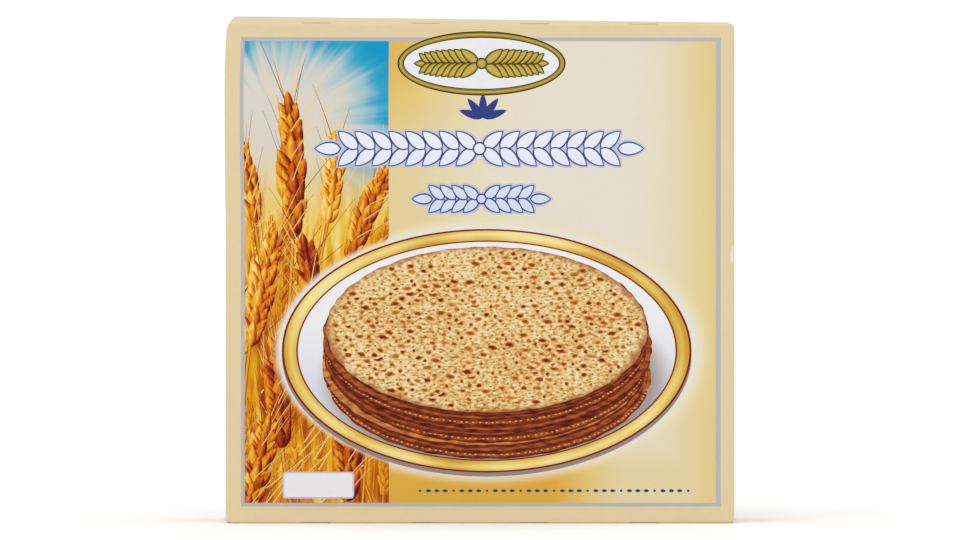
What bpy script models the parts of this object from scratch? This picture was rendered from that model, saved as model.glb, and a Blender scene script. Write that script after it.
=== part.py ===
"""A shut folding carton of the square, upright kind that crisp flat bread is sold in.

Metres, +Z up. The carton stands on its base with its wide front towards -Y, and the origin is the
middle of the base. It is one folded blank that can't be seen into, so it is one closed solid: crowned
panels, rounded folds, the cut edges of the outer top and base flaps, a top flap that springs up at its
left end, a left side that bows, and the short slits that run along the folds of those flaps.
"""

import math

import bmesh
import bpy
from mathutils import Matrix, Vector

# Outer size of the shut carton; the height is that of the top folds
WIDTH = 0.190
DEPTH = 0.060
HEIGHT = 0.1870

BOARD = 0.0005  # thickness of the folding board
FOLD_RADIUS = 0.0011  # outer radius of every fold

# The wide panels and the narrow ones bulge outwards by this much at their middles
WIDE_CROWN = 0.0009
NARROW_CROWN = 0.0002

# The outer top flap springs up between its folds: most at the left end, where it rises within a short
# run, and hardly at all at the right end. The folds themselves stand higher at the left, too.
SPRING_LEFT = 0.00205
SPRING_RIGHT = 0.00025
SPRING_RUN = 0.0026
TOP_FALL = 0.0003  # how far the top folds fall from the middle to the right end

# The top corners of the left end are pressed down, in a curve this wide and this high. The panels
# give way to it, and to the spring, over the stretch below their top folds.
PRESSED_WIDTH = 0.0016
PRESSED_HEIGHT = 0.0016
GIVING_STRETCH = 0.0120

# The left side bows out by this much at this height. It comes back in within the lower reach, and
# within the upper one it leans in as far as the pressed corners.
LEFT_BOW = 0.0004
BOW_HEIGHT = 0.1610
BOW_REACH_DOWN = 0.0450
BOW_REACH_UP = 0.0165

# The cut edges of the outer flaps stand in from the carton's ends and back
FLAP_END_INSET = 0.0018
FLAP_BACK_INSET = 0.0030
EDGE_RUN = 0.00006  # the width over which a cut edge drops by the board's thickness

# Slits along the four long folds of the flaps
SLITS_PER_FOLD = 4
SLIT_PITCH = 0.0408
SLIT_LENGTH = 0.0110
SLIT_WIDTH = 0.0008
SLIT_DEPTH = 0.0005

# A worn nick in the front right fold
NICK_HEIGHT = 0.1003
NICK_HALF_LENGTH = 0.0038
NICK_DEPTH = 0.0006
NICK_SPREAD = 0.0040

# Cells of the panels' grids, between their folds
CELLS_ACROSS = 14
CELLS_DEEP = 6
CELLS_HIGH = 14

SHARP_ANGLE = math.radians(40)
BOARD_COLOUR = (0.76, 0.61, 0.37, 1.0)
BOARD_ROUGHNESS = 0.42

HALF_WIDTH = WIDTH / 2
HALF_DEPTH = DEPTH / 2
FLAP_END = HALF_WIDTH - FLAP_END_INSET
FLAP_BACK = HALF_DEPTH - FLAP_BACK_INSET


def clear_scene():
    for old in list(bpy.data.objects):
        bpy.data.objects.remove(old, do_unlink=True)


def board_material():
    material = bpy.data.materials.new("printed_board")
    material.use_nodes = True
    shader = material.node_tree.nodes["Principled BSDF"]
    shader.inputs["Base Color"].default_value = BOARD_COLOUR
    shader.inputs["Roughness"].default_value = BOARD_ROUGHNESS
    shader.inputs["Metallic"].default_value = 0.0
    return material


def grid_lines(low, high, cells, extra):
    """Where a panel's grid lines run, with closer ones over the rounded folds at both its ends."""
    mid_fold = FOLD_RADIUS * (1 - math.tan(math.radians(22.5)))
    lines = {low, low + mid_fold, high - mid_fold, high}
    inner_low = low + FOLD_RADIUS
    inner_length = high - low - 2 * FOLD_RADIUS
    lines.update(inner_low + inner_length * i / cells for i in range(cells + 1))
    lines.update(extra)
    return sorted(lines)


def box_lines():
    """The grid lines across, deep and high, with extra ones at the flaps' cut edges and the nick."""
    end_edges = [side * (FLAP_END - run) for side in (-1, 1) for run in (0.0, EDGE_RUN)]
    spring_lines = [SPRING_RUN * share - HALF_WIDTH for share in (0.6, 1.0)]
    nick_lines = [NICK_HEIGHT + NICK_HALF_LENGTH * share / 2 for share in range(-2, 3)]
    return (
        grid_lines(-HALF_WIDTH, HALF_WIDTH, CELLS_ACROSS, end_edges + spring_lines),
        grid_lines(-HALF_DEPTH, HALF_DEPTH, CELLS_DEEP, [FLAP_BACK - EDGE_RUN, FLAP_BACK]),
        grid_lines(0.0, HEIGHT, CELLS_HIGH, nick_lines),
    )


def dome(share):
    """1 in the middle of a stretch and 0 at its ends, for a share of -1 to 1 along it."""
    return max(0.0, 1.0 - share * share)


def rounded(x, y, z):
    """A point of the sharp box, moved onto the box whose folds are rounded."""
    inner = Vector(
        (
            max(FOLD_RADIUS - HALF_WIDTH, min(HALF_WIDTH - FOLD_RADIUS, x)),
            max(FOLD_RADIUS - HALF_DEPTH, min(HALF_DEPTH - FOLD_RADIUS, y)),
            max(FOLD_RADIUS, min(HEIGHT - FOLD_RADIUS, z)),
        )
    )
    return inner + FOLD_RADIUS * (Vector((x, y, z)) - inner).normalized()


def crown(place):
    """How far the upright panels bulge out at a place on them."""
    across = dome(place.x / HALF_WIDTH)
    deep = dome(place.y / HALF_DEPTH)
    high = dome(2 * place.z / HEIGHT - 1)
    return Vector(
        (
            NARROW_CROWN * deep * high * place.x / HALF_WIDTH,
            WIDE_CROWN * across * high * place.y / HALF_DEPTH,
            0.0,
        )
    )


def top_lift(place):
    """How far the top is lifted above its folds, or lowered where the left end is pressed down."""
    from_left = place.x + HALF_WIDTH
    spring = SPRING_LEFT + (SPRING_RIGHT - SPRING_LEFT) * from_left / WIDTH
    risen = math.sin(math.pi / 2 * min(1.0, from_left / SPRING_RUN))
    outwards = min(1.0, max(0.0, 1.0 - from_left / PRESSED_WIDTH))
    pressed = PRESSED_HEIGHT * (1.0 - math.sqrt(1.0 - outwards * outwards))
    fall = TOP_FALL * place.x / HALF_WIDTH
    return spring * risen * dome(place.y / HALF_DEPTH) - pressed - fall


def left_bow(place):
    """How far the left side stands out at a place on it, and less so all that lies left of the middle."""
    share = (place.z - BOW_HEIGHT) / (BOW_REACH_UP if place.z > BOW_HEIGHT else BOW_REACH_DOWN)
    bow = 1.0 - share * share if place.z > BOW_HEIGHT else dome(share)
    return LEFT_BOW * bow * max(0.0, -place.x / HALF_WIDTH)


def nick(place):
    """How far the front right fold is knocked in."""
    from_fold = math.hypot(HALF_WIDTH - place.x, HALF_DEPTH + place.y)
    nearness = max(0.0, 1.0 - from_fold / NICK_SPREAD)
    return NICK_DEPTH * nearness * dome((place.z - NICK_HEIGHT) / NICK_HALF_LENGTH)


def beyond_flap(x, y):
    """Whether a point of the top or the base lies beyond the outer flap's cut edges."""
    half_run = EDGE_RUN / 2
    on_hinge = y < FOLD_RADIUS - HALF_DEPTH
    beyond_end = abs(x) > FLAP_END - half_run and not on_hinge
    return beyond_end or y > FLAP_BACK - half_run


def surface(x, y, z):
    """The place on the carton of a point of the sharp box."""
    place = rounded(x, y, z)
    place += crown(place)
    giving = max(0.0, (place.z - HEIGHT + GIVING_STRETCH) / GIVING_STRETCH)
    place.z += giving * top_lift(place)
    place.x -= nick(place) + left_bow(place)
    if z == HEIGHT and beyond_flap(x, y):
        place.z -= BOARD
    if z == 0.0 and beyond_flap(x, y):
        place.z += BOARD
    return place


def carton_mesh():
    """The carton's surface: the six grids of a box, shaped and joined along the folds."""
    across, deep, high = box_lines()
    carton = bmesh.new()
    corners = {}

    def corner(*point):
        if point not in corners:
            corners[point] = carton.verts.new(surface(*point))
        return corners[point]

    def panel(first, second, point_at):
        for a, next_a in zip(first, first[1:]):
            for b, next_b in zip(second, second[1:]):
                around = ((a, b), (next_a, b), (next_a, next_b), (a, next_b))
                carton.faces.new([corner(*point_at(u, v)) for u, v in around])

    for y in (deep[0], deep[-1]):
        panel(across, high, lambda u, v, y=y: (u, y, v))
    for x in (across[0], across[-1]):
        panel(deep, high, lambda u, v, x=x: (x, u, v))
    for z in (high[0], high[-1]):
        panel(across, deep, lambda u, v, z=z: (u, v, z))
    bmesh.ops.recalc_face_normals(carton, faces=carton.faces)
    return finished_mesh(carton, "carton")


def slit_mesh():
    """Thin blocks, one for each slit, turned to stand square to the fold that they cut."""
    slits = bmesh.new()
    fold_inset = FOLD_RADIUS * (1 - math.cos(math.radians(45)))
    size = Matrix.Diagonal((SLIT_LENGTH, SLIT_WIDTH, 2 * SLIT_DEPTH, 1.0))
    for front_or_back in (-1, 1):
        for base_or_top in (-1, 1):
            y = front_or_back * (HALF_DEPTH - fold_inset)
            z = HEIGHT / 2 + base_or_top * (HEIGHT / 2 - fold_inset)
            turn = Matrix.Rotation(math.radians(-45 * front_or_back * base_or_top), 4, "X")
            for i in range(SLITS_PER_FOLD):
                x = (i - (SLITS_PER_FOLD - 1) / 2) * SLIT_PITCH
                fall = TOP_FALL * x / HALF_WIDTH if base_or_top > 0 else 0.0
                place = Matrix.Translation((x, y, z - fall))
                bmesh.ops.create_cube(slits, size=1.0, matrix=place @ turn @ size)
    return finished_mesh(slits, "slits")


def finished_mesh(shape, name):
    mesh = bpy.data.meshes.new(name)
    shape.to_mesh(mesh)
    shape.free()
    mesh.shade_smooth()
    mesh.set_sharp_from_angle(angle=SHARP_ANGLE)
    return mesh


def add_object(name, mesh):
    added = bpy.data.objects.new(name, mesh)
    bpy.context.scene.collection.objects.link(added)
    return added


def build_carton():
    carton = add_object("carton", carton_mesh())
    carton.data.materials.append(board_material())
    slits = add_object("slit_cutters", slit_mesh())
    slits.hide_render = True
    slits.display_type = "WIRE"
    cut = carton.modifiers.new("slits", "BOOLEAN")
    cut.operation = "DIFFERENCE"
    cut.object = slits


clear_scene()
build_carton()
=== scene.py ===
"""The looks of a shut folding carton of crisp flatbread: its folded board and the print on it.

Its panels and flaps are sheets of board half a millimetre thick. Each is laid out flat, in millimetres,
as an outline with shapes printed on it, then carried onto the carton and thickened.
"""

import math
import random

import bpy
import numpy as np
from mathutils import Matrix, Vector
from mathutils.bvhtree import BVHTree
from mathutils.geometry import delaunay_2d_cdt


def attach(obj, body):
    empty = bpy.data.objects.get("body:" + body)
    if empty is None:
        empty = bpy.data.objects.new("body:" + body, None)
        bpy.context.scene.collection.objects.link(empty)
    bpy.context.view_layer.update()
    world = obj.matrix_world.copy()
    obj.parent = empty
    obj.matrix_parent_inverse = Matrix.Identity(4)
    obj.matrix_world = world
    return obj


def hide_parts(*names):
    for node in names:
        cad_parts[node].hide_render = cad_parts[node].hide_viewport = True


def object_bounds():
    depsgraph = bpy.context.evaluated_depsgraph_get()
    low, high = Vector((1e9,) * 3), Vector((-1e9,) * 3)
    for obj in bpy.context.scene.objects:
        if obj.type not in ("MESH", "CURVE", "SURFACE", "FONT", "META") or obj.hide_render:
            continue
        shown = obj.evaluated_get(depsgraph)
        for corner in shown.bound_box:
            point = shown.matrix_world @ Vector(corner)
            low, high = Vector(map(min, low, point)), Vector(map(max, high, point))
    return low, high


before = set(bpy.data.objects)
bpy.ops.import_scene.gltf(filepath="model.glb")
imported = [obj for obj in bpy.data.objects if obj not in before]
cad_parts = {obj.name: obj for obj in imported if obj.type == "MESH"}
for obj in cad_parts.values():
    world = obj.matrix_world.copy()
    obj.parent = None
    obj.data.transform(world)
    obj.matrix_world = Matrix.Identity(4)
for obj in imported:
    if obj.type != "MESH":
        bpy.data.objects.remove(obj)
CAD_LOW, CAD_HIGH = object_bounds()

MM = 0.001

# The carton's make, in millimetres, as its solid has it
BOARD = 0.5
FOLD_RADIUS = 1.1
WIDE_CROWN = 0.9
NARROW_CROWN = 0.2
HALF_WIDTH = round(CAD_HIGH.x / MM, 2) - NARROW_CROWN
HALF_DEPTH = round(CAD_HIGH.y / MM, 2) - WIDE_CROWN
HEIGHT = 187.0
SPRING_LEFT = 2.05
SPRING_RIGHT = 0.25
SPRING_RUN = 2.6
TOP_FALL = 0.3
PRESSED_WIDTH = 1.6
PRESSED_HEIGHT = 1.6
GIVING_STRETCH = 12.0
LEFT_BOW = 0.4
BOW_HEIGHT = 161.0
BOW_REACH_DOWN = 45.0
BOW_REACH_UP = 16.5
FLAP_END = HALF_WIDTH - 1.8
FLAP_BACK = HALF_DEPTH - 3.0
SLIT_OFFSETS = (-61.2, -20.4, 20.4, 61.2)
SLIT_LENGTH = 11.0
NICK_HEIGHT = 100.3
NICK_HALF_LENGTH = 3.8
NICK_DEPTH = 0.6
NICK_SPREAD = 4.0

# What only the board shows
SLIT_HALF_WIDTH = 0.3
SLIT_TAPER = 0.4
SHEET_THICKNESS = 0.48
UNEVENNESS = 0.16  # how deep the wide panels' slight hollows are
NARROW_SHARE = 0.3  # how deep the narrow panels' are, as a share of that
HOLLOW_WAVES = (17.0, 9.0, 23.0)  # the hollows' wavelengths along x, y and z, over two pi
FLAP_TAPER = 1.2
FLAP_CORNER = 2.0
INNER_FLAP_END = HALF_WIDTH - 3.2
INNER_FLAP_FREE = HALF_DEPTH - 9.0
DUST_FLAP_LENGTH = 27.0
DUST_FLAP_SIDE = HALF_DEPTH - 1.0
DIP_START = 1.0  # the dust flaps dip under the inner ones from this far in
DIP_RUN = 3.0
GLUE_TAB_WIDTH = 13.0
GLUE_TAB_INSET = 2.0
SEAM_INSET = 0.6  # how far the back panel's glued edge stands in from the left panel
TUCK_RUN = 3.5  # the left panel sinks under the back one over this run

# How far from the folds, the corners and the nick the wear fades
FOLD_WEAR = 0.8
CORNER_WEAR = 3.0
NICK_WEAR = 1.6

# The meshes' grids: closer lines over the folds and beside them, and coarser ones on the raw back
GRID_STEP = 5.0
INTO_FOLD = [FOLD_RADIUS * (1.0 - math.tan(math.radians(9.0 * i))) for i in range(6)]
FOLD_INSETS = [0.12, 0.35, 0.8] + INTO_FOLD + [1.8, 2.3, 3.2, 4.4, 5.7]
LEAST_GAP = 0.02  # between a grid line and an outline's end
BACK_STEP = 12.0
BACK_MARGIN = 4.0
NORMAL_STEP = 0.02

HALVES = np.array((HALF_WIDTH, HALF_DEPTH, HEIGHT / 2))
MIDDLE = np.array((0.0, 0.0, HEIGHT / 2))

# Each face of the box: its rightward axis, its upward axis and its place, seen from outside
FACES = {
    "front": ((1, 0, 0), (0, 0, 1), (0, -HALF_DEPTH, 0)),
    "back": ((-1, 0, 0), (0, 0, 1), (0, HALF_DEPTH, 0)),
    "right": ((0, 1, 0), (0, 0, 1), (HALF_WIDTH, 0, 0)),
    "left": ((0, -1, 0), (0, 0, 1), (-HALF_WIDTH, 0, 0)),
    "top": ((1, 0, 0), (0, 1, 0), (0, 0, HEIGHT)),
    "base": ((1, 0, 0), (0, -1, 0), (0, 0, 0)),
}


# ---------------- the carton's surface


def dome(share):
    return np.clip(1.0 - share * share, 0.0, None)


def smooth(share):
    share = np.clip(share, 0.0, 1.0)
    return share * share * (3.0 - 2.0 * share)


def rounded(points):
    """Points of the sharp box, moved onto the box whose folds are rounded."""
    from_middle = points - MIDDLE
    inner = np.clip(from_middle, FOLD_RADIUS - HALVES, HALVES - FOLD_RADIUS)
    out = from_middle - inner
    return MIDDLE + inner + FOLD_RADIUS * out / np.linalg.norm(out, axis=1, keepdims=True)


def top_lift(x, y):
    """How far the top is lifted above its folds, or lowered where the left end is pressed down."""
    from_left = x + HALF_WIDTH
    spring = SPRING_LEFT + (SPRING_RIGHT - SPRING_LEFT) * from_left / (2 * HALF_WIDTH)
    risen = np.sin(math.pi / 2 * np.clip(from_left / SPRING_RUN, 0.0, 1.0))
    outwards = np.clip(1.0 - from_left / PRESSED_WIDTH, 0.0, 1.0)
    pressed = PRESSED_HEIGHT * (1.0 - np.sqrt(1.0 - outwards * outwards))
    return spring * risen * dome(y / HALF_DEPTH) - pressed - TOP_FALL * x / HALF_WIDTH


def left_bow(x, z):
    """How far the left side stands out, and less so all that lies left of the middle."""
    above = z > BOW_HEIGHT
    share = (z - BOW_HEIGHT) / np.where(above, BOW_REACH_UP, BOW_REACH_DOWN)
    bow = np.where(above, 1.0 - share * share, dome(share))
    return LEFT_BOW * bow * np.clip(-x / HALF_WIDTH, 0.0, None)


def fold_layer(points):
    """The panels' ends follow the outer flaps at the front, and the inner ones at the back and sides."""
    to_end = smooth((np.abs(points[:, 0]) - FLAP_END) / (HALF_WIDTH - FLAP_END))
    return np.where(points[:, 1] > HALF_DEPTH - 0.01, 1.0, to_end)


def outer_layer(points):
    return 0.0


def inner_layer(points):
    return 1.0


def dust_layer(points):
    """The short flaps at the ends dip under the inner flap, close to their folds."""
    return 1.0 + smooth((HALF_WIDTH - np.abs(points[:, 0]) - DIP_START) / DIP_RUN)


def on_carton(points, layer, tucked):
    """Carries points of the sharp box onto the carton.

    layer gives how many boards they lie below the outer one at the top and the base. tucked is how far
    they sink behind the back panel.
    """
    x, y, z = rounded(points).T
    across, deep, high = x / HALF_WIDTH, y / HALF_DEPTH, 2.0 * z / HEIGHT - 1.0
    wave_x, wave_y, wave_z = HOLLOW_WAVES
    hollows = 0.5 + 0.5 * np.sin(x / wave_x + 1.3 + y / wave_y) * np.sin(z / wave_z + 0.4)
    uneven = UNEVENNESS * hollows * dome(high) ** 0.5
    y = y + deep * (WIDE_CROWN * dome(across) * dome(high) - uneven * dome(across) ** 0.5)
    uneven = NARROW_SHARE * uneven
    x = x + across * (NARROW_CROWN * dome(deep) * dome(high) - uneven * dome(deep) ** 0.5)
    giving = np.clip((z - HEIGHT + GIVING_STRETCH) / GIVING_STRETCH, 0.0, None)
    z = z + giving * top_lift(x, y)
    from_fold = np.hypot(HALF_WIDTH - x, HALF_DEPTH + y)
    nearness = np.clip(1.0 - from_fold / NICK_SPREAD, 0.0, 1.0)
    x = x - NICK_DEPTH * nearness * dome((z - NICK_HEIGHT) / NICK_HALF_LENGTH) - left_bow(x, z)
    below = BOARD * layer(points)
    settling = np.clip(1.0 - z / GIVING_STRETCH, 0.0, 1.0)
    z = z - np.clip(giving, 0.0, 1.0) * below + settling * below
    y = y - tucked * smooth((points[:, 1] - HALF_DEPTH + TUCK_RUN) / TUCK_RUN)
    return np.stack((x, y, z), axis=1)


# ---------------- shapes, laid out flat in millimetres

# A grain's width along it is sin(pi * share ** GRAIN_SKEW) ** GRAIN_FULLNESS of its widest
GRAIN_SKEW = 0.8
GRAIN_FULLNESS = 0.75


def turned(points, degrees, centre):
    c, s = math.cos(math.radians(degrees)), math.sin(math.radians(degrees))
    return [(centre[0] + c * u - s * v, centre[1] + s * u + c * v) for u, v in points]


def ellipse(centre, reach_u, reach_v, turn=0.0, count=72):
    angles = (2 * math.pi * i / count for i in range(count))
    return turned([(reach_u * math.cos(a), reach_v * math.sin(a)) for a in angles], turn, centre)


def arc(centre, radius, quarter, steps=6):
    """A quarter of a circle, from so many quarter turns on."""
    angles = (math.pi / 2 * (quarter + i / steps) for i in range(steps + 1))
    return [(centre[0] + radius * math.cos(a), centre[1] + radius * math.sin(a)) for a in angles]


def rectangle(low_u, low_v, high_u, high_v, corner=0.0):
    """A rectangle, with round corners if they have a radius."""
    if not corner:
        return [(low_u, low_v), (high_u, low_v), (high_u, high_v), (low_u, high_v)]
    left, low, right, high = low_u + corner, low_v + corner, high_u - corner, high_v - corner
    centres = ((right, high), (left, high), (left, low), (right, low))
    return [point for quarter, centre in enumerate(centres) for point in arc(centre, corner, quarter)]


def kernel(foot, heading, length, width, steps=7):
    """A grain or a leaf: round at its foot and pointed at its tip."""
    swell = [math.sin(math.pi * (i / steps) ** GRAIN_SKEW) for i in range(steps + 1)]
    half = [each ** GRAIN_FULLNESS * width / 2 for each in swell]
    right = [(length * i / steps, -half[i]) for i in range(steps + 1)]
    left = [(length * i / steps, half[i]) for i in range(steps - 1, 0, -1)]
    return turned(right + left, heading, foot)


def stroke(line, start_width, end_width):
    """A line of some width, which may taper."""
    count = len(line) - 1
    right, left = [], []
    for i, (u, v) in enumerate(line):
        before, after = line[max(i - 1, 0)], line[min(i + 1, count)]
        run = math.hypot(after[0] - before[0], after[1] - before[1])
        half = (start_width + (end_width - start_width) * i / count) / 2 / run
        across = ((before[1] - after[1]) * half, (after[0] - before[0]) * half)
        right.append((u - across[0], v - across[1]))
        left.append((u + across[0], v + across[1]))
    return right + left[::-1]


def bend(start, heading, length, turn, steps=8):
    """A line that starts off in a heading and turns by so many degrees along its length."""
    u, v = start
    line = [start]
    for i in range(steps):
        angle = math.radians(heading + turn * (i + 0.5) / steps)
        u += length / steps * math.cos(angle)
        v += length / steps * math.sin(angle)
        line.append((u, v))
    return line


# ---------------- sheets of board

# The axes of a shape whose ink needs none
NO_AXES = (0.0, 0.0, 0.0, 1e6, 1e6)


class Sheet:
    """One piece of the board: the face it lies on, its outline and the shapes printed on it."""

    def __init__(self, name, face, outline, layer=fold_layer, tucked=0.0):
        self.name = name
        self.right, self.up, self.origin = (np.array(part, float) for part in FACES[face])
        self.layer = layer
        self.tucked = tucked
        self.shapes = []
        self.print("cream", outline)

    def print(self, ink, points, axes=NO_AXES, tone=0.0):
        """Prints a shape over the earlier ones.

        Some inks need its axes, which are an origin, a heading and the reach both ways, and its tone.
        """
        self.shapes.append((points, ink, (*axes, tone)))

    def box_points(self, flat):
        return self.origin + flat[:, :1] * self.right + flat[:, 1:] * self.up

    def carried(self, flat):
        return on_carton(self.box_points(flat), self.layer, self.tucked)

    def normals(self, flat):
        """The carried sheet's outward directions, from how it runs on either side of each point."""
        step_u, step_v = np.array((NORMAL_STEP, 0.0)), np.array((0.0, NORMAL_STEP))
        run_u = self.carried(flat + step_u) - self.carried(flat - step_u)
        run_v = self.carried(flat + step_v) - self.carried(flat - step_v)
        out = np.cross(run_u, run_v)
        return out / np.linalg.norm(out, axis=1, keepdims=True)


def grid_lines(low, high):
    """Where grid lines cross a face along one axis: evenly, and closer over the folds at both ends."""
    evenly = np.arange(math.ceil(low / GRID_STEP) + 1, high / GRID_STEP - 1) * GRID_STEP
    closer = [low + inset for inset in FOLD_INSETS] + [high - inset for inset in FOLD_INSETS]
    return sorted(set(np.round(np.concatenate((evenly, closer)), 3)))


NICK_LINES = [NICK_HEIGHT + NICK_HALF_LENGTH * share / 3 for share in range(-3, 4)]
X_LINES = grid_lines(-HALF_WIDTH, HALF_WIDTH)
Y_LINES = grid_lines(-HALF_DEPTH, HALF_DEPTH)
Z_LINES = sorted(grid_lines(0.0, HEIGHT) + NICK_LINES)


def lines_along(axis):
    """The grid lines that cross a sheet's rightward or upward axis."""
    for lines, part in zip((X_LINES, Y_LINES, Z_LINES), axis):
        if part:
            return sorted(part * line for line in lines)


def crossing_lines(sheet):
    """The sheet's grid, as the two ends of each line across its outline's box."""
    outline = np.array(sheet.shapes[0][0])
    (low_u, low_v), (high_u, high_v) = outline.min(0), outline.max(0)
    across = [u for u in lines_along(sheet.right) if low_u + LEAST_GAP < u < high_u - LEAST_GAP]
    up = [v for v in lines_along(sheet.up) if low_v + LEAST_GAP < v < high_v - LEAST_GAP]
    return [((u, low_v), (u, high_v)) for u in across] + [((low_u, v), (high_u, v)) for v in up]


def flat_triangles(points, edges, faces):
    """Triangles over the first face, and the number of the last face over each of them."""
    made = delaunay_2d_cdt([Vector(p) for p in points], edges, faces, 0, 1e-5, True)
    flat = np.array([tuple(p) for p in made[0]])
    kept = [i for i, over in enumerate(made[5]) if 0 in over]
    corners = np.array([made[2][i] for i in kept])
    topmost = np.array([max(made[5][i]) for i in kept])
    a, b, c = (flat[corners[:, k]] for k in range(3))
    area = (b[:, 0] - a[:, 0]) * (c[:, 1] - a[:, 1]) - (b[:, 1] - a[:, 1]) * (c[:, 0] - a[:, 0])
    corners[area < 0] = corners[area < 0][:, ::-1]
    used = np.unique(corners)
    renumbered = np.zeros(len(flat), int)
    renumbered[used] = np.arange(len(used))
    return flat[used], renumbered[corners], topmost


def rim_loop(corners):
    """The corners along the outline, in order, anticlockwise."""
    sides = {(a, b) for tri in corners.tolist() for a, b in zip(tri, tri[1:] + tri[:1])}
    following = {a: b for a, b in sides if (b, a) not in sides}
    start = min(following)
    loop = [start]
    while following[loop[-1]] != start:
        loop.append(following[loop[-1]])
    return loop


def printed_triangles(sheet):
    """The sheet's triangles, and the number of the uppermost shape over each.

    All shapes are cut out of each other first. Then only the edges are kept that have different
    shapes on their two sides, and the grid is cut in.
    """
    points, faces = [], []
    for polygon, _, _ in sheet.shapes:
        faces.append(list(range(len(points), len(points) + len(polygon))))
        points.extend(polygon)
    flat, corners, topmost = flat_triangles(points, [], faces)
    beside = {}
    for shape, (a, b, c) in zip(topmost.tolist(), corners.tolist()):
        for ends in ((a, b), (b, c), (c, a)):
            beside.setdefault(tuple(sorted(ends)), []).append(shape)
    kept = np.array([ends for ends, shapes in beside.items() if len(shapes) == 1 or len(set(shapes)) > 1])
    used, edges = np.unique(kept, return_inverse=True)
    edges = edges.reshape(-1, 2).tolist()
    points = flat[used].tolist()
    outline = np.searchsorted(used, rim_loop(corners)).tolist()
    for ends in crossing_lines(sheet):
        edges.append((len(points), len(points) + 1))
        points.extend(ends)
    cut_flat, cut_corners, _ = flat_triangles(points, edges, [outline])
    tree = BVHTree.FromPolygons([(u, v, 0.0) for u, v in flat], corners.tolist())
    middles = cut_flat[cut_corners].mean(1)
    return cut_flat, cut_corners, topmost[[tree.find_nearest((u, v, 0.0))[2] for u, v in middles]]


def sheet_object(sheet, inks):
    """The sheet as a closed piece of board: its printed skin, its raw back and its cut edges."""
    flat, skin, topmost = printed_triangles(sheet)
    loop = rim_loop(skin)
    outline = [tuple(flat[i]) for i in loop]
    low, high = flat.min(0), flat.max(0)
    coarse = [
        (u, v)
        for u in np.arange(low[0] + BACK_MARGIN, high[0] - BACK_MARGIN / 2, BACK_STEP)
        for v in np.arange(low[1] + BACK_MARGIN, high[1] - BACK_MARGIN / 2, BACK_STEP)
    ]
    back_flat, back, _ = flat_triangles(outline + coarse, [], [list(range(len(outline)))])
    nearest = {tuple(np.round(p, 4)): i for i, p in enumerate(back_flat)}
    behind = [len(flat) + nearest[tuple(np.round(p, 4))] for p in outline]

    outward = sheet.normals(flat)
    back_outward = sheet.normals(back_flat)
    back_places = sheet.carried(back_flat) - SHEET_THICKNESS * back_outward
    places = np.concatenate((sheet.carried(flat), back_places))
    rim = [(loop[i], loop[i - 1], behind[i - 1], behind[i]) for i in range(len(loop))]
    faces = skin.tolist() + (back[:, ::-1] + len(flat)).tolist() + rim

    mesh = bpy.data.meshes.new(sheet.name)
    mesh.from_pydata((places * MM).tolist(), [], faces)
    names = [ink for _, ink, _ in sheet.shapes]
    slots = sorted(set(names)) + ["raw_board"]
    for ink in slots:
        mesh.materials.append(inks[ink])
    slot_of = np.array([slots.index(name) for name in names])
    wearing = np.full(len(faces), len(slots) - 1)
    wearing[: len(skin)] = slot_of[topmost]
    mesh.polygons.foreach_set("material_index", wearing.astype(np.int32))
    set_normals(mesh, np.concatenate((outward, -back_outward)), len(faces) - len(rim))
    both_flat = np.concatenate((flat, back_flat))
    set_wear(mesh, sheet, both_flat)
    set_laid(mesh, sheet, flat[skin], topmost)
    set_bake_map(mesh, both_flat, low, high, len(skin), len(rim))
    return add_object(sheet.name, mesh)


def add_object(name, data):
    added = bpy.data.objects.new(name, data)
    bpy.context.scene.collection.objects.link(added)
    return added


def set_normals(mesh, outward, smooth_faces):
    """Shades both sides of the board by the true surface, and each cut edge flat."""
    mesh.update()
    normals = []
    for face in mesh.polygons:
        is_edge = face.index >= smooth_faces
        normals += [tuple(face.normal if is_edge else outward[i]) for i in face.vertices]
    mesh.normals_split_custom_set(normals)


def set_wear(mesh, sheet, flat):
    """Says how worn each corner of the mesh is, from 0 to 1: most at the folds, the corners and the nick."""
    points = sheet.box_points(flat)
    inset = np.sort(HALVES - np.abs(points - MIDDLE), axis=1)
    to_fold, to_corner = inset[:, 1], inset[:, 2]
    at_fold = np.exp(-np.clip(to_fold, 0.0, None) / FOLD_WEAR)
    wear = at_fold * (0.6 + 0.5 * np.exp(-to_corner / CORNER_WEAR))
    to_nick = np.hypot(HALF_WIDTH - points[:, 0], HALF_DEPTH + points[:, 1])
    nick = np.clip(NICK_WEAR - to_nick, 0.0, None) * dome((points[:, 2] - NICK_HEIGHT) / NICK_HALF_LENGTH)
    wear = (wear + nick).clip(0.0, 1.5)
    mesh.attributes.new("worn", "FLOAT", "POINT").data.foreach_set("value", wear.astype(np.float32))


def set_laid(mesh, sheet, corners, topmost):
    """Says where each corner of a printed triangle lies along its shape's axes, and the shape's tone."""
    lies = np.array([axes for _, _, axes in sheet.shapes])[topmost]
    u, v, heading, reach_along, reach_across, tone = (lies[:, k : k + 1] for k in range(6))
    c, s = np.cos(np.radians(heading)), np.sin(np.radians(heading))
    from_u, from_v = corners[:, :, 0] - u, corners[:, :, 1] - v
    along = (c * from_u + s * from_v) / reach_along
    across = (c * from_v - s * from_u) / reach_across
    laid = np.zeros((len(mesh.loops), 3), np.float32)
    laid[: 3 * len(corners)] = np.stack((along, across, tone + 0.0 * along), axis=2).reshape(-1, 3)
    mesh.attributes.new("laid", "FLOAT_VECTOR", "CORNER").data.foreach_set("vector", laid.ravel())


# Where the bake's texture holds the printed skin, the raw back and each cut edge: low corner and size
SKIN_SPOT = np.array(((0.004, 0.034), (0.992, 0.962)))
BACK_SPOT = np.array(((0.004, 0.004), (0.992, 0.014)))
EDGE_SPOT = np.array(((0.01, 0.021), (0.02, 0.005)))


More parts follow.
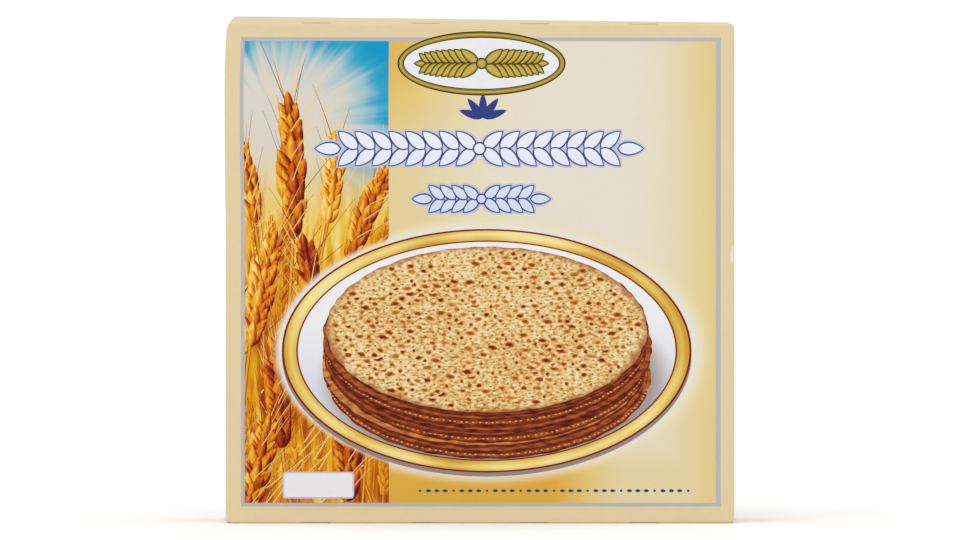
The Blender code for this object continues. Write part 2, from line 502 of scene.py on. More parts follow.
def set_bake_map(mesh, flat, low, high, skin_count, rim_count):
    """Lays the printed skin out over nearly all of a texture, and the raw back along its lower edge."""
    share = (flat - low) / (high - low)
    skin_end = skin_count * 3
    corner = np.zeros(len(mesh.loops), np.int32)
    mesh.loops.foreach_get("vertex_index", corner)
    spots = np.empty((len(corner), 2))
    spots[:skin_end] = SKIN_SPOT[0] + share[corner[:skin_end]] * SKIN_SPOT[1]
    spots[skin_end:] = BACK_SPOT[0] + share[corner[skin_end:]] * BACK_SPOT[1]
    edge = EDGE_SPOT[0] + np.array(((0, 0), (0, 1), (1, 1), (1, 0))) * EDGE_SPOT[1]
    spots[len(corner) - 4 * rim_count :] = np.tile(edge, (rim_count, 1))
    mesh.uv_layers.new(name="OFBake").uv.foreach_set("vector", spots.astype(np.float32).ravel())


# ---------------- inks

STUDIO_LIGHT = 1.12  # how bright the studio makes a white front
VARNISH_SHEEN = 0.009  # what the varnish adds to it


def screen(red, green, blue):
    """The ink that has this colour on screen, 0 to 255, on the carton's front in the studio."""

    def ink(part):
        part /= 255.0
        linear = part / 12.92 if part <= 0.04045 else ((part + 0.055) / 1.055) ** 2.4
        return max(0.002, (linear - VARNISH_SHEEN) / STUDIO_LIGHT)

    return (ink(red), ink(green), ink(blue), 1.0)


PALE_BOARD = screen(246, 236, 214)
RAW_BOARD = screen(216, 206, 188)
HALO = screen(229, 225, 213)
WARM_HALO = screen(238, 220, 158)
PLATE_CENTRE = (2.5, 64.5)
PLATE_REACH = (76.5, 45.5)
GOLD_RIDGE = 0.955
GOLD_REACH = 0.032
BREAD_REACH = (60.0, 31.0)
BREAD_PITCH = 2.0
BREAD_COUNT = 9
BREAD_FOOT = (PLATE_CENTRE[0], PLATE_CENTRE[1] - 8.5)
BREAD_TOP = (BREAD_FOOT[0], BREAD_FOOT[1] + (BREAD_COUNT - 1) * BREAD_PITCH + 0.4)
FIELD_HALO = 1.13
WHEAT_HALO = 1.055
SUN = (-76.0, 149.0)
SUN_REACH = (44.0, 37.0)


class Ink:
    """A material's nodes, with short ways to add them. Its x, y and z are in millimetres."""

    def __init__(self, name):
        self.material = bpy.data.materials.new(name)
        self.material.use_nodes = True
        self.tree = self.material.node_tree
        self.shader = self.tree.nodes["Principled BSDF"]
        self.place = self.add("TexCoord", {}).outputs["Object"]
        parts = self.add("SeparateXYZ", {0: self.place}).outputs
        self.x, self.y, self.z = (self.scaled(part, 1 / MM) for part in parts)

    def feed(self, node, inputs):
        """Links or sets a node's inputs."""
        for socket, value in inputs.items():
            if isinstance(value, bpy.types.NodeSocket):
                self.tree.links.new(value, node.inputs[socket])
            else:
                node.inputs[socket].default_value = value

    def add(self, kind, inputs, **settings):
        made = self.tree.nodes.new("ShaderNode" + kind)
        for name, value in settings.items():
            setattr(made, name, value)
        self.feed(made, inputs)
        return made

    def sum(self, operation, *values):
        return self.add("Math", dict(enumerate(values)), operation=operation).outputs[0]

    def scaled(self, value, factor, offset=0.0):
        return self.sum("MULTIPLY_ADD", value, factor, offset)

    def noise(self, scale, detail=2.0, squash=1.0):
        """Noise from 0 to 1, whose features are about 1 / scale metres wide, and less high if squashed."""
        inputs = {0: self.place, 1: (1.0, 1.0, squash)}
        place = self.add("VectorMath", inputs, operation="MULTIPLY").outputs[0]
        return self.add("TexNoise", {"Vector": place, "Scale": scale, "Detail": detail}).outputs[0]

    def rise(self, value, low, high):
        """0 up to low and 1 from high on, smoothly."""
        inputs = {0: value, 1: low, 2: high, 3: 0.0, 4: 1.0}
        return self.add("MapRange", inputs, interpolation_type="SMOOTHSTEP").outputs[0]

    def mix(self, share, first, second):
        inputs = {0: share, 6: first, 7: second}
        return self.add("Mix", inputs, data_type="RGBA").outputs[2]

    def ramp(self, value, *stops):
        """A colour that runs through stops, each a place from 0 to 1 and a colour on screen."""
        made = self.add("ValToRGB", {0: value})
        elements = made.color_ramp.elements
        while len(elements) < len(stops):
            elements.new(0.5)
        for element, (position, *colour) in zip(elements, stops):
            element.position = position
            element.color = screen(*colour)
        return made.outputs[0]

    def laid(self):
        """The place along and across the printed shape, by its own axes, and its tone."""
        place = self.add("Attribute", {}, attribute_name="laid").outputs["Vector"]
        return self.add("SeparateXYZ", {0: place}).outputs

    def length(self, across, up):
        return self.sum("SQRT", self.scaled(up, up, self.scaled(across, across)))

    def from_centre(self, centre, reach):
        """Steps across and up from a centre on the front, as shares of a reach in millimetres."""
        across = self.scaled(self.x, 1 / reach[0], -centre[0] / reach[0])
        up = self.scaled(self.z, 1 / reach[1], -centre[1] / reach[1])
        return across, up

    def apart_from(self, centre, reach):
        """Distance from a centre on the front, as a share of an ellipse's reach."""
        return self.length(*self.from_centre(centre, reach))

    def with_halo(self, colour, reach):
        """Fades a colour of the front's picture to near white round the plate, out to a share of it."""
        near = self.rise(self.apart_from(PLATE_CENTRE, PLATE_REACH), reach, 1.005)
        on_front = self.sum("LESS_THAN", self.y, -HALF_DEPTH / 2)
        return self.mix(self.scaled(near, on_front), colour, self.mix(near, WARM_HALO, HALO))

    def finish(self, colour, roughness=0.44, coat=0.02):
        """Gives a colour the board's varnish and tooth, uneven ink and worn folds."""
        broad = self.scaled(self.noise(40.0, 3.0), 0.05, 0.925)
        shade = self.scaled(self.noise(2400.0, 2.0), 0.10, broad)
        toned = self.add("VectorMath", {0: colour, "Scale": shade}, operation="SCALE").outputs[0]
        worn = self.add("Attribute", {}, attribute_name="worn").outputs["Fac"]
        bared = self.rise(self.scaled(self.noise(700.0, 3.0), 0.9, worn), 1.0, 1.5)
        tooth = self.add("Bump", {"Strength": 0.25, "Distance": 0.02 * MM, "Height": self.noise(1500.0, 4.0)})
        looks = {
            "Base Color": self.mix(self.scaled(bared, 0.85), toned, PALE_BOARD),
            "Roughness": self.scaled(self.noise(160.0, 3.0), 0.12, roughness - 0.06),
            "Normal": tooth.outputs[0],
            "Specular IOR Level": 0.1,
            "Coat Weight": coat,
            "Coat Roughness": 0.3,
        }
        self.feed(self.shader, looks)
        return self.material


def plain_colour(ink, *colour):
    """One printed colour, a little lighter and darker in places."""
    full = screen(*colour)[:3]
    lighter, darker = ((*(share * part for part in full), 1.0) for share in (1.035, 0.965))
    return ink.mix(ink.noise(300.0, 3.0), lighter, darker)


def straw_colour(ink, *colour):
    return ink.with_halo(plain_colour(ink, *colour), WHEAT_HALO)


def shaded_colour(ink, upper, lower, low, high):
    """A colour that changes from lower to upper between two heights."""
    return ink.mix(ink.rise(ink.z, low, high), screen(*lower), screen(*upper))


def field_colour(ink):
    """The pale field behind the plate: ivory, warming to gold at its sides and its foot."""
    drift = ink.scaled(ink.noise(26.0, 2.0), 8.0, -4.0)
    across = ink.sum("ADD", ink.x, drift)
    left = ink.rise(across, 24, -36)
    left = ink.scaled(left, ink.scaled(ink.rise(ink.z, 128, 180), 0.36, 0.56))
    right = ink.scaled(ink.rise(across, 52, 98), 0.76)
    foot = ink.rise(ink.sum("ADD", ink.z, drift), 40, 20)
    foot = ink.scaled(foot, ink.scaled(ink.rise(across, 58, 26), 0.55, 0.45))
    colour = ink.ramp(
        ink.sum("MAXIMUM", ink.sum("MAXIMUM", left, right), foot),
        (0.0, 227, 220, 203),
        (0.25, 227, 217, 186),
        (0.5, 226, 208, 160),
        (0.75, 225, 198, 120),
        (1.0, 218, 171, 68),
    )
    return ink.with_halo(colour, FIELD_HALO)


def sky_colour(ink):
    """The band's ground: a blue sky with a bright haze and rays, over a ripe field."""
    clouds = ink.scaled(ink.noise(42.0, 3.0), 0.5, -0.25)
    across, up = ink.from_centre(SUN, (1.0, 1.0))
    turn = ink.scaled(ink.sum("ARCTAN2", up, across), 7.0)
    rays = ink.add("TexNoise", {"W": turn, "Scale": 1.0, "Detail": 2.0}, noise_dimensions="1D").outputs[0]
    waver = ink.sum("ADD", clouds, ink.scaled(rays, 0.5, -0.25))
    depth = ink.sum("ADD", ink.apart_from(SUN, SUN_REACH), waver)
    sky = ink.ramp(
        ink.rise(depth, 0.4, 1.2),
        (0.0, 216, 211, 199),
        (0.4, 160, 194, 202),
        (0.75, 64, 166, 198),
        (1.0, 14, 150, 196),
    )
    sky = ink.mix(ink.rise(ink.z, 144, 118), sky, screen(230, 206, 140))
    stalks = ink.scaled(ink.noise(330.0, 3.0, 0.14), 0.7)
    patches = ink.scaled(ink.noise(70.0, 3.0, 0.5), 0.6, stalks)
    ripe = ink.ramp(
        ink.scaled(ink.rise(ink.z, 82, 118), 0.14, patches),
        (0.49, 146, 56, 16),
        (0.59, 194, 106, 16),
        (0.69, 222, 160, 28),
        (0.77, 236, 194, 72),
        (0.86, 240, 218, 144),
    )
    ground = ink.rise(ink.scaled(clouds, 50.0, ink.z), 132, 104)
    return ink.with_halo(ink.mix(ground, sky, ripe), WHEAT_HALO)


def plate_colour(ink):
    """White china, shaded where the bread stands on it."""
    glaze = ink.mix(ink.rise(ink.z, 24, 84), screen(202, 206, 222), screen(236, 235, 236))
    shade = ink.rise(ink.apart_from((6.0, 53.0), (68.0, 36.0)), 1.02, 0.84)
    return ink.mix(ink.scaled(shade, 0.75), glaze, screen(142, 122, 112))


def gold_colour(ink):
    """Yellow gold, brighter and darker round the rim, and brightest along the rim's middle."""
    apart = ink.apart_from(PLATE_CENTRE, PLATE_REACH)
    off_ridge = ink.scaled(apart, 1 / GOLD_REACH, -GOLD_RIDGE / GOLD_REACH)
    sheen = ink.scaled(ink.sum("ABSOLUTE", off_ridge), -0.2, 0.09)
    shade = ink.sum("ADD", ink.noise(30.0, 1.0), sheen)
    return ink.ramp(shade, (0.3, 204, 156, 58), (0.5, 230, 200, 104), (0.7, 240, 226, 158))


def crumb_colour(ink):
    """The face of crisp bread: pale, with blisters browned in patches, and browned round its edge."""
    blisters = ink.scaled(ink.noise(620.0, 3.0, 1.7), 0.95, -0.075)
    crumb = ink.ramp(
        ink.scaled(ink.noise(60.0, 2.0), 0.2, blisters),
        (0.34, 178, 112, 50),
        (0.43, 213, 166, 95),
        (0.52, 229, 199, 138),
        (0.64, 242, 228, 188),
    )
    ragged = ink.scaled(ink.noise(240.0, 2.0), 0.14, ink.apart_from(BREAD_TOP, BREAD_REACH))
    return ink.mix(ink.scaled(ink.rise(ragged, 1.0, 1.08), 0.85), crumb, screen(166, 92, 40))


def toast_colour(ink):
    """A toasted blister on the crumb: ragged, and darkest in its middle."""
    along, across, tone = ink.laid()
    ragged = ink.scaled(ink.noise(1100.0, 3.0), 0.6, ink.length(along, across))
    depth = ink.scaled(ink.rise(ragged, 1.02, 0.38), tone)
    toast = ink.ramp(depth, (0.0, 222, 166, 92), (0.3, 200, 122, 54), (0.6, 158, 74, 32), (1.0, 96, 36, 22))
    return ink.mix(ink.rise(depth, 0.02, 0.3), crumb_colour(ink), toast)


def wheat_colour(ink, *colours):
    """Grains of wheat: each is round, and palest towards its tip and its lit flank."""
    along, across, tone = ink.laid()
    swell = ink.sum("SINE", ink.scaled(ink.sum("POWER", along, GRAIN_SKEW), math.pi))
    flank = ink.sum("DIVIDE", across, ink.sum("MAXIMUM", ink.sum("POWER", swell, GRAIN_FULLNESS), 0.06))
    off_light = ink.scaled(flank, 1.0, -0.3)
    lit = ink.scaled(ink.scaled(off_light, off_light), -0.4, 0.2)
    husk = ink.scaled(ink.noise(1300.0, 2.0, 0.35), 0.5, -0.19)
    shade = ink.sum("ADD", ink.scaled(tone, 0.5, lit), ink.scaled(along, 0.26, husk))
    steps = len(colours) - 1
    colour = ink.ramp(shade, *((i / steps, *each) for i, each in enumerate(colours)))
    return ink.with_halo(colour, WHEAT_HALO)


def crust_colour(ink, dark, light):
    """The browned edge of a sheet of bread, in short dark and light lengths."""
    return ink.ramp(ink.noise(230.0, 3.0, 3.0), (0.36, *dark), (0.62, *light))


def raw_board():
    """Unprinted board: the carton's inside and its cut edges."""
    ink = Ink("raw_board")
    fibres = ink.noise(1800.0, 4.0, 3.0)
    return ink.finish(ink.mix(fibres, RAW_BOARD, screen(232, 225, 210)), roughness=0.85, coat=0.0)


PLAIN_INKS = {
    "cream": (226, 206, 165),
    "line": (183, 182, 185),
    "white": (232, 232, 236),
    "navy": (56, 66, 132),
    "glow": (190, 196, 222),
    "olive": (150, 130, 42),
    "gilt": (196, 172, 84),
    "dark": (52, 46, 26),
    "maroon": (122, 40, 38),
    "plate_edge": (150, 134, 136),
    "hole": (156, 104, 54),
    "crust_dot": (222, 162, 92),
}

# The inks of the wheat's stems and beards, which fade round the plate
STRAW_INKS = {
    "straw_dark": (176, 84, 26),
    "straw": (222, 158, 50),
    "awn_pale": (244, 204, 118),
    "awn_dark": (136, 60, 30),
}

# The colours that the wheat's grains run through, from shade to light
NEAR_WHEAT = ((98, 22, 16), (150, 48, 18), (196, 94, 20), (226, 150, 30), (242, 198, 78), (248, 228, 158))
FAR_WHEAT = ((156, 66, 16), (196, 110, 20), (220, 152, 30), (236, 186, 66))

# The dark and the light colour of each kind of browned edge
CRUST_INKS = {
    "crust_dark": ((78, 28, 18), (128, 54, 28)),
    "crust_brown": ((116, 52, 28), (174, 96, 48)),
    "crust_light": ((150, 78, 38), (210, 144, 78)),
}

# Upper and lower colours, and the heights in millimetres that they change between
SHADED_INKS = {
    "side_field": ((227, 220, 205), (221, 178, 82), 18, 84),
    "label": ((232, 236, 246), (208, 218, 238), 114, 147),
}

# What colours each kind of ink, and the inks of that kind
KINDS_OF_INK = (
    (field_colour, {"field": ()}),
    (sky_colour, {"sky": ()}),
    (plate_colour, {"plate": ()}),
    (gold_colour, {"gold": ()}),
    (crumb_colour, {"crumb": ()}),
    (toast_colour, {"toast": ()}),
    (shaded_colour, SHADED_INKS),
    (wheat_colour, {"wheat": NEAR_WHEAT, "far_wheat": FAR_WHEAT}),
    (crust_colour, CRUST_INKS),
    (plain_colour, PLAIN_INKS),
    (straw_colour, STRAW_INKS),
)


def make_inks():
    inks = {"raw_board": raw_board()}
    for colour, looks in KINDS_OF_INK:
        for name, look in looks.items():
            ink = Ink("ink_" + name)
            inks[name] = ink.finish(colour(ink, *look))
    return inks


# ---------------- the print

# The line round each picture, as the places of its left, lower, right and upper edges
FRONT_FRAME = ((-89.3, 6.3, 89.9, 181.5), (-87.9, 7.7, 88.1, 180.1))
SIDE_FRAME = ((-24.6, 6.3, 24.6, 181.5), (-23.1, 7.7, 23.1, 180.1))
BORDER_COVER = 130.0  # further than any panel reaches
BAND_EDGE = -34.0
EAR_ROW_STEP = 1.7  # how many points of an ear's line there are to a row of grains
CRUST_DOTS = 74
WAVY_POINTS = 180


def grain(sheet, ink, foot, heading, length, width, tone):
    sheet.print(ink, kernel(foot, heading, length, width), (*foot, heading, length, width / 2), tone)


def wheat_ear(sheet, foot, heading, length, width, tone, draws, near=True):
    """An ear of wheat with its stem and beard: rows of up to three grains, smaller towards the tip."""
    ink, rows = ("wheat", 15) if near else ("far_wheat", 6)
    turn = draws.uniform(-14, 14)
    line = bend(foot, heading, length, turn, steps=2 * rows)
    feet = [line[round(EAR_ROW_STEP * i)] for i in range(rows + 1)]
    stem = bend(foot, heading + 180, length * 1.5, -turn)
    sheet.print("straw_dark", stroke(stem, width * 0.13, width * 0.1))
    sheet.print("straw", stroke(stem, width * 0.07, width * 0.05))

    def beard(side, every, least, most):
        """Awns from some of the rows, which lean out to a side and sweep up past the tip."""
        for i in range(1, rows + 1, every):
            awn_ink = "awn_pale" if draws.random() < 0.7 else "awn_dark"
            lean = heading + turn * i / rows + side * draws.uniform(least, most)
            awn = bend(feet[i], lean, length * draws.uniform(0.35, 0.75), side * 7)
            sheet.print(awn_ink, stroke(awn, 0.36, 0.1))

    if near:
        beard(-1, 1, 5, 19)
        beard(1, 1, 5, 19)
    grain(sheet, ink, feet[rows], heading + turn, width * 0.6, width * 0.26, tone)
    for i in reversed(range(rows)):
        size = width * (0.4 + 0.6 * math.sin(math.pi * (0.26 + 0.62 * i / rows)))
        for side in (-1, 1) if i % 2 else (-1, 1, 0):
            lean = heading + turn * i / rows + side * draws.uniform(15, 30)
            bulk = size * draws.uniform(0.86, 1.08)
            lit = tone + 0.2 * side + draws.uniform(-0.3, 0.3)
            grain(sheet, ink, feet[i], lean, bulk * 0.95, bulk * 0.4, lit)
    if near:
        beard(draws.choice((-1, 1)), 3, 18, 42)


def leaf(sheet, ink, foot, heading, length, width, grow=0.0):
    """A leaf that is larger all round by so many millimetres."""
    foot = bend(foot, heading + 180, grow, 0, 1)[1]
    sheet.print(ink, kernel(foot, heading, length + 2 * grow, width + 2 * grow, 9))


def garland(sheet, low_u, high_u, v, height, pairs):
    """A row of bare leaves growing both ways from a bead, pale with a navy edge and a soft glow."""
    middle, reach = (low_u + high_u) / 2, (high_u - low_u) / 2
    length, width, gap, bead, lean = 0.62 * height, 0.3 * height, 0.1 * height, 0.14 * height, 42
    pitch = (reach - length - gap) / pairs
    leaves = []
    for side in (1, -1):
        ahead = 0 if side > 0 else 180
        leaves.append(((middle + side * (reach - length), v), ahead))
        for i in reversed(range(pairs)):
            foot = (middle + side * (gap + pitch * i), v)
            leaves += [(foot, ahead + lean), (foot, ahead - lean)]

    for foot, heading in leaves:
        leaf(sheet, "glow", foot, heading, length, width, 1.1)
    for foot, heading in leaves:
        leaf(sheet, "navy", foot, heading, length, width, 0.35)
        leaf(sheet, "label", foot, heading, length, width, -0.2)
    for ink, grow in (("navy", 0.4), ("label", -0.2)):
        sheet.print(ink, ellipse((middle, v), bead + grow, bead + grow, count=24))


def plaque(sheet, centre, reach_u, reach_v):
    """A white oval plaque with an olive gold rim and a sprig of grain on it."""
    rims = (("dark", 0.0), ("olive", 0.5), ("gilt", 1.0), ("olive", 1.5), ("dark", 2.1))
    for ink, inset in (*rims, ("white", 2.5)):
        sheet.print(ink, ellipse(centre, reach_u - inset, reach_v - inset))

    def sprig_leaf(from_middle, side, lean, length):
        foot, heading = (centre[0] + side * from_middle, centre[1]), 90 - 90 * side + lean
        for ink, grow in (("dark", 0.4), ("olive", 0.0), ("gilt", -0.45)):
            leaf(sheet, ink, foot, heading, length, 0.4 * length, grow)

    for side in (-1, 1):
        sprig_leaf(19.4, side, 0, 5.6)
        for i in reversed(range(8)):
            from_middle = 1.4 + 2.5 * i
            for lean in (-40, 40):
                sprig_leaf(from_middle, side, lean, 8.2 * math.sqrt(dome(from_middle / 26.0)))
    for ink, grow in (("dark", 0.4), ("olive", 0.0), ("gilt", -0.5)):
        sheet.print(ink, ellipse(centre, 1.8 + grow, 1.8 + grow, count=24))


def framed(sheet, edges):
    """Covers all that reaches out of the picture with the cream border, and draws the line round it."""
    left, low, right, high = edges[1]
    covered = (-BORDER_COVER, -BORDER_COVER, BORDER_COVER, 2 * BORDER_COVER)
    for ink, outer in (("cream", covered), ("line", edges[0])):
        sheet.print(ink, rectangle(outer[0], outer[1], left, outer[3]))
        sheet.print(ink, rectangle(right, outer[1], outer[2], outer[3]))
        sheet.print(ink, rectangle(left, outer[1], right, low))
        sheet.print(ink, rectangle(left, high, right, outer[3]))


def label(sheet, low_u, low_v, high_u, high_v, corner):
    """A bare white label with a pale edge."""
    for ink, inset, radius in (("glow", 0.0, corner), ("white", 0.6, corner - 0.4)):
        edges = (low_u + inset, low_v + inset, high_u - inset, high_v - inset)
        sheet.print(ink, rectangle(*edges, radius))


def small_row(sheet, start, pitch, count):
    """A row of small lying grains, with a dot in place of every fourth."""
    for i in range(count):
        u, v = start[0] + i * pitch, start[1]
        shape = kernel((u - 1.0, v), 0, 2.1, 1.2) if i % 4 else ellipse((u, v), 0.5, 0.5, count=12)
        sheet.print("navy", shape)


def wavy_ellipse(centre, reach_u, reach_v, phase):
    points = []
    for angle in (2 * math.pi * k / WAVY_POINTS for k in range(WAVY_POINTS)):
        wave = 1 + 0.004 * math.sin(23 * angle + phase) + 0.003 * math.sin(41 * angle + 2 * phase)
        u, v = reach_u * wave * math.cos(angle), reach_v * wave * math.sin(angle)
        points.append((centre[0] + u, centre[1] + v))
    return points


def bread_stack(sheet, draws):
    """A stack of round crisp bread on an oval plate."""
    (plate_u, plate_v), (plate_wide, plate_deep) = PLATE_CENTRE, PLATE_REACH
    sheet.print("plate_edge", ellipse((plate_u, plate_v - 1.5), plate_wide, plate_deep, count=120))
    for ink, inset in (("maroon", 0.0), ("gold", 0.8), ("maroon", 5.4), ("plate", 6.0)):
        sheet.print(ink, ellipse(PLATE_CENTRE, plate_wide - inset, plate_deep - inset * 0.8, count=120))
    for i in range(BREAD_COUNT):
        u, v = BREAD_FOOT[0] + draws.uniform(-0.9, 0.9), BREAD_FOOT[1] + i * BREAD_PITCH
        wide = BREAD_REACH[0] + draws.uniform(-0.8, 0.8)
        deep = BREAD_REACH[1] + draws.uniform(-0.35, 0.35)
        edge = draws.choice(("crust_brown", "crust_brown", "crust_light"))
        for ink, drop in (("crust_dark", draws.uniform(0.8, 1.3)), (edge, 0.0)):
            sheet.print(ink, wavy_ellipse((u, v - drop), wide, deep, draws.uniform(0, 6)))
        if i % 3 == 0:
            for k in range(CRUST_DOTS):
                angle = math.pi * (1.06 + 0.88 * (k + draws.uniform(-0.2, 0.2)) / CRUST_DOTS)
                dot = (u + wide * math.cos(angle), v + 0.7 + deep * math.sin(angle))
                sheet.print("crust_dot", ellipse(dot, 0.42, 0.26, count=8))
    wide, deep = BREAD_REACH
    shadow = (BREAD_TOP[0], BREAD_TOP[1] - 0.5)
    sheet.print("crust_dark", wavy_ellipse(shadow, wide, deep, 1.0))
    sheet.print("crumb", wavy_ellipse(BREAD_TOP, wide - 0.1, deep - 0.1, 4.0))
    dock_bread(sheet, draws)


def dock_bread(sheet, draws):
    """Rows of docking marks over the bread's face, many of them in a toasted blister."""
    pitch = 0.064
    count = round(1 / pitch)
    for row in range(-count, count + 1):
        for column in range(-count, count + 1):
            s = column * pitch + draws.uniform(-0.015, 0.015)
            t = (row + 0.5 * (column % 2)) * pitch + draws.uniform(-0.014, 0.014)
            across, back = turned([(s, t)], 24, (0.0, 0.0))[0]
            size, lean = 1.2 + 2.6 * draws.random() ** 1.6, draws.uniform(-18, 8)
            toasted = draws.random()
            if math.hypot(across, back) > 0.945:
                continue
            place = (BREAD_TOP[0] + BREAD_REACH[0] * across, BREAD_TOP[1] + BREAD_REACH[1] * back)
            if toasted < 0.54:
                wide, deep, tone = size, 1.1 + 0.16 * size, 1.1 - 1.35 * toasted
                spot = ellipse(place, wide, deep, lean, 12)
                sheet.print("toast", spot, (*place, lean, wide, deep), tone)
            else:
                sheet.print("hole", ellipse(place, 0.5, 0.3, 8, 8))


def wheat_band(sheet, draws):
    """Ripe wheat under a bright sky: a far crowd of ears, drifting awns and some ears close by."""
    left, low, _, high = FRONT_FRAME[1]
    sheet.print("sky", rectangle(left - 1, low - 1, BAND_EDGE, high + 1))
    far_wheat(sheet, draws, 44, (-90, -36), 104.0, 2.2)
    for i in range(46):
        start = (draws.uniform(-96, -40), draws.uniform(0, 112))
        ink = "awn_dark" if i % 3 == 0 else "awn_pale"
        awn = bend(start, draws.uniform(36, 62), draws.uniform(22, 42), draws.uniform(-10, 10))
        sheet.print(ink, stroke(awn, 0.5, 0.12))
    for foot, heading, length, width, tone in (
        ((-84.0, 112.0), 98, 36, 10.5, 0.45),
        ((-49.0, 98.0), 72, 40, 11.0, 0.35),
        ((-57.0, 112.0), 80, 34, 10.0, 0.7),
        ((-70.0, 106.0), 88, 55, 13.5, 0.25),
        ((-86.0, 66.0), 82, 44, 12.5, 0.4),
        ((-58.0, 66.0), 104, 42, 12.0, -0.1),
        ((-40.0, 50.0), 84, 40, 12.0, 0.3),
        ((-74.0, 28.0), 97, 42, 13.0, 0.05),
        ((-50.0, 8.0), 86, 38, 12.5, 0.1),
        ((-88.0, 2.0), 76, 38, 12.5, 0.3),
    ):
        wheat_ear(sheet, foot, heading, length, width, tone, draws)


def far_wheat(sheet, draws, count, reach_u, top, fall):
    """A crowd of small ears, each lower than the last."""
    for i in range(count):
        foot = (draws.uniform(*reach_u), top - fall * i + draws.uniform(-6, 6))
        heading, length = draws.uniform(72, 108), draws.uniform(14, 20)
        wheat_ear(sheet, foot, heading, length, 5.2, draws.uniform(0.35, 0.65), draws, near=False)


def print_front(sheet):
    draws = random.Random(7)
    _, low, right, high = FRONT_FRAME[1]
    wheat_band(sheet, draws)
    sheet.print("field", rectangle(BAND_EDGE, low - 1, right + 1, high + 1))
    framed(sheet, FRONT_FRAME)
    bread_stack(sheet, draws)
    garland(sheet, -61.4, 61.0, v=140.0, height=15.4, pairs=8)
    garland(sheet, -25.2, 26.3, v=121.2, height=12.0, pairs=4)
    for lean in (-72, 72, -38, 38, 0):
        sheet.print("navy", kernel((1.1, 151.4), 90 + lean, 9.4, 3.0))
    plaque(sheet, (0.6, 171.8), 31.4, 12.0)
    label(sheet, -73.7, 9.3, -47.0, 19.3, corner=1.2)
    small_row(sheet, (-22.4, 12.2), pitch=3.13, count=33)


def print_side(sheet, seed):
    """A field that turns golden downwards, with ears of wheat at its foot."""
    draws = random.Random(seed)
    left, low, right, high = SIDE_FRAME[1]
    sheet.print("side_field", rectangle(left - 1, low - 1, right + 1, high + 1))
    far_wheat(sheet, draws, 14, (-24, 24), 22.0, 2.4)
    for foot, heading, length, tone in (
        ((-13.0, 22.0), 98, 42, 0.55),
        ((12.0, 16.0), 80, 38, 0.5),
        ((0.0, 2.0), 92, 38, 0.42),
    ):
        wheat_ear(sheet, foot, heading, length, 12.0, tone, draws)
    framed(sheet, SIDE_FRAME)


def print_back(sheet):
    """The picture's field again, with a bare panel and a bare white label in it."""
    draws = random.Random(29)
    left, low, right, high = FRONT_FRAME[1]
    mirrored_frame = tuple((-edges[2], edges[1], -edges[0], edges[3]) for edges in FRONT_FRAME)
    sheet.print("side_field", rectangle(-right - 1, low - 1, -left + 1, high + 1))
    far_wheat(sheet, draws, 70, (-90, 90), 30.0, 0.5)
    for i in range(11):
        foot = (-84.0 + 16.8 * i + draws.uniform(-4, 4), draws.uniform(-14, 8))
        heading, length = draws.uniform(80, 100), draws.uniform(35, 41)
        wheat_ear(sheet, foot, heading, length, 12.0, draws.uniform(0.2, 0.6), draws)
    framed(sheet, mirrored_frame)
    for ink, inset in (("navy", 0.0), ("cream", 0.5)):
        sheet.print(ink, rectangle(-76 + inset, 66 + inset, 76 - inset, 142 - inset, 4.0 - inset))
    garland(sheet, -61.0, 61.0, v=161.0, height=15.4, pairs=8)
    label(sheet, 27.4, 15.4, 76.6, 48.6, corner=1.4)


# ---------------- the carton's sheets


def slit_run(low, high):
    """An edge from low to high, as places along it and how far it steps in round each slit."""
    run = [(low, 0.0)]
    for centre in SLIT_OFFSETS:
        start, end = centre - SLIT_LENGTH / 2, centre + SLIT_LENGTH / 2
        inmost = (start + SLIT_TAPER, SLIT_HALF_WIDTH), (end - SLIT_TAPER, SLIT_HALF_WIDTH)
        run += [(start, 0.0), *inmost, (end, 0.0)]
    return run + [(high, 0.0)]


def panel_outline(low, high):
    """A wide upright panel, with half of each slit cut out of its upper and lower edges."""
    run = slit_run(low, high)
    return run + [(along, HEIGHT - inwards) for along, inwards in reversed(run)]


def flap_outline(end, free):
    """A flap hinged along its lower edge, with its free corners rounded."""
    outline = [(along, inwards - HALF_DEPTH) for along, inwards in slit_run(-end, end)]
    u, v = end - FLAP_TAPER - FLAP_CORNER, free - FLAP_CORNER
    return outline + arc((u, v), FLAP_CORNER, 0, steps=5) + arc((-u, v), FLAP_CORNER, 1, steps=5)


def turned_over(outline):
    """The same outline hinged along its upper edge."""
    return [(-u, -v) for u, v in outline]


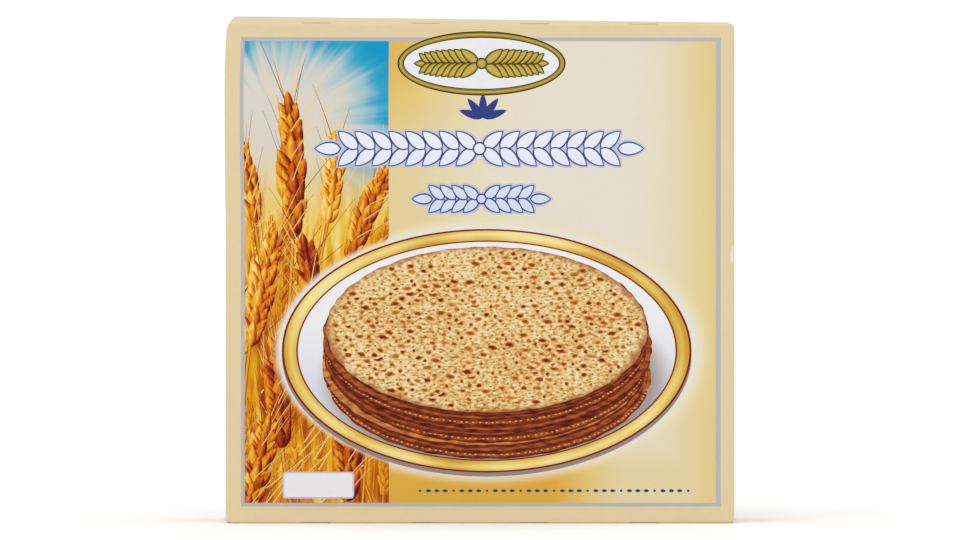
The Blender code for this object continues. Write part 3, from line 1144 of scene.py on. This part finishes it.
def carton_sheets():
    side = rectangle(-HALF_DEPTH, 0.0, HALF_DEPTH, HEIGHT)
    tab = rectangle(HALF_WIDTH - GLUE_TAB_WIDTH, GLUE_TAB_INSET, HALF_WIDTH, HEIGHT - GLUE_TAB_INSET)
    outer = flap_outline(FLAP_END, FLAP_BACK)
    inner = flap_outline(INNER_FLAP_END, INNER_FLAP_FREE)
    sheets = [
        Sheet("front_panel", "front", panel_outline(-HALF_WIDTH, HALF_WIDTH)),
        Sheet("back_panel", "back", panel_outline(-HALF_WIDTH, HALF_WIDTH - SEAM_INSET)),
        Sheet("right_panel", "right", side),
        Sheet("left_panel", "left", side, tucked=BOARD),
        Sheet("glue_tab", "back", tab, tucked=BOARD),
        Sheet("top_flap", "top", outer, outer_layer),
        Sheet("top_inner_flap", "top", turned_over(inner), inner_layer),
        Sheet("base_flap", "base", turned_over(outer), outer_layer),
        Sheet("base_inner_flap", "base", inner, inner_layer),
    ]
    print_front(sheets[0])
    print_back(sheets[1])
    print_side(sheets[2], 11)
    print_side(sheets[3], 17)
    for face in ("top", "base"):
        for end, start in (("left", -HALF_WIDTH), ("right", HALF_WIDTH - DUST_FLAP_LENGTH)):
            outline = rectangle(start, -DUST_FLAP_SIDE, start + DUST_FLAP_LENGTH, DUST_FLAP_SIDE)
            sheets.append(Sheet(f"{face}_dust_flap_{end}", face, outline, dust_layer))
    return sheets


def build_carton():
    inks = make_inks()
    for sheet in carton_sheets():
        piece = sheet_object(sheet, inks)
        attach(piece, "root")
        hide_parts("carton")


# ---------------- floor, light and camera

FLOOR_REACH = 90.0
FLOOR_LOOKS = {"Base Color": (0.95, 0.95, 0.95, 1.0), "Roughness": 0.9, "Specular IOR Level": 0.1}
WORLD_LIGHT = 0.92
SUN_LIGHT = 0.84
AIM = (0.0, -HALF_DEPTH * MM, 94.66 * MM)
CAMERA_DISTANCE = 6.0
CAMERA_HEIGHT = 0.21
PHOTO_WIDTH = 960 * 0.3734 * MM  # 960 pixels, each 0.3734 mm wide at the front panel


def build_floor():
    mesh = bpy.data.meshes.new("floor")
    corners = rectangle(-FLOOR_REACH, -FLOOR_REACH, FLOOR_REACH, FLOOR_REACH)
    mesh.from_pydata([(x, y, 0.0) for x, y in corners], [], [(0, 1, 2, 3)])
    floor = add_object("floor", mesh)
    white = Ink("floor_white")
    white.feed(white.shader, FLOOR_LOOKS)
    mesh.materials.append(white.material)


def build_light():
    world = bpy.data.worlds.new("studio")
    world.use_nodes = True
    ground = world.node_tree.nodes["Background"]
    ground.inputs["Color"].default_value = (1.0, 1.0, 1.0, 1.0)
    ground.inputs["Strength"].default_value = WORLD_LIGHT
    bpy.context.scene.world = world
    data = bpy.data.lights.new("overhead", "SUN")
    data.energy = SUN_LIGHT
    data.angle = math.radians(50)
    light = add_object("overhead", data)
    light.rotation_euler = (math.radians(38), 0.0, math.radians(-12))


def build_camera():
    data = bpy.data.cameras.new("camera")
    camera = add_object("camera", data)
    camera.location = (AIM[0], AIM[1] - CAMERA_DISTANCE, CAMERA_HEIGHT)
    towards = Vector(AIM) - camera.location
    camera.rotation_euler = towards.to_track_quat("-Z", "Y").to_euler()
    data.sensor_width = 36.0
    data.lens = data.sensor_width * towards.length / PHOTO_WIDTH
    data.clip_end = 150.0
    bpy.context.scene.camera = camera


build_carton()
build_floor()
build_light()
build_camera()
bpy.context.scene.view_settings.view_transform = "Standard"
